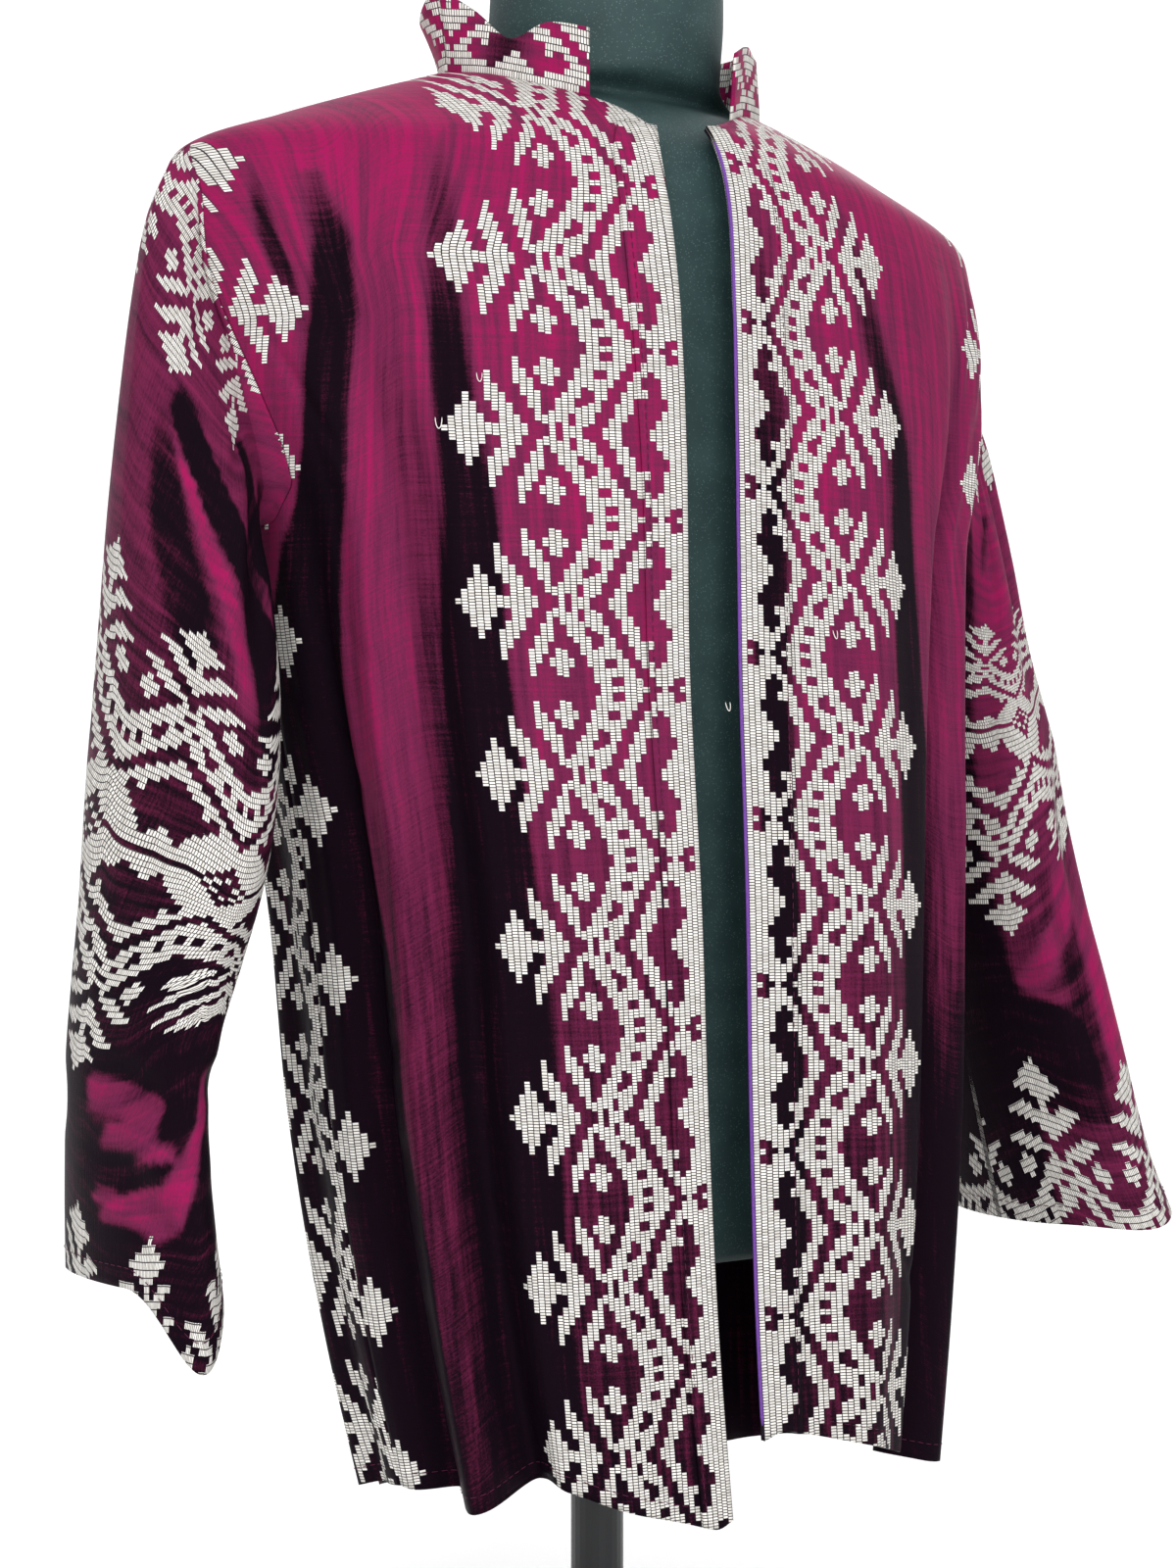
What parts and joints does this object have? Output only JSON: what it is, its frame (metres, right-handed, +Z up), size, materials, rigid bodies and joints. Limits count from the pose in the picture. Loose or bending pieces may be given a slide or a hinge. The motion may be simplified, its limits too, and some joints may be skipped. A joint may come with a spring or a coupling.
{
  "type": "open-front stand-collar jacket on a limbless dress form",
  "caption": "Long-sleeved open-front jacket with a stand collar and narrow front bands, hanging in soft upright folds on a dark limbless dress form with a round stand.",
  "frame": {"origin": "centre of the round stand's underside, on the floor plane", "axes": "+Z up; the jacket faces -Y; the wearer's right side is -X and left side is +X"},
  "size_m": [0.6137, 0.3, 0.8998],
  "materials": {
    "cloth": "handwoven shot silk with pale inlaid weft figures, low sheen",
    "band": "handwoven, nearly all pale weft floats",
    "form": "matt dark shell",
    "cap": "matt dark",
    "stand": "satin dark paint"
  },
  "bodies": {
    "root": {"front_right": "cloth", "front_left": "cloth", "back": "cloth", "sleeve_right": "cloth", "sleeve_left": "cloth", "collar": "cloth", "band_right": "band", "band_left": "band", "form_torso": "form", "form_neck_cap": "cap", "stand_pole": "stand", "stand_base": "stand"}
  },
  "joints": []
}
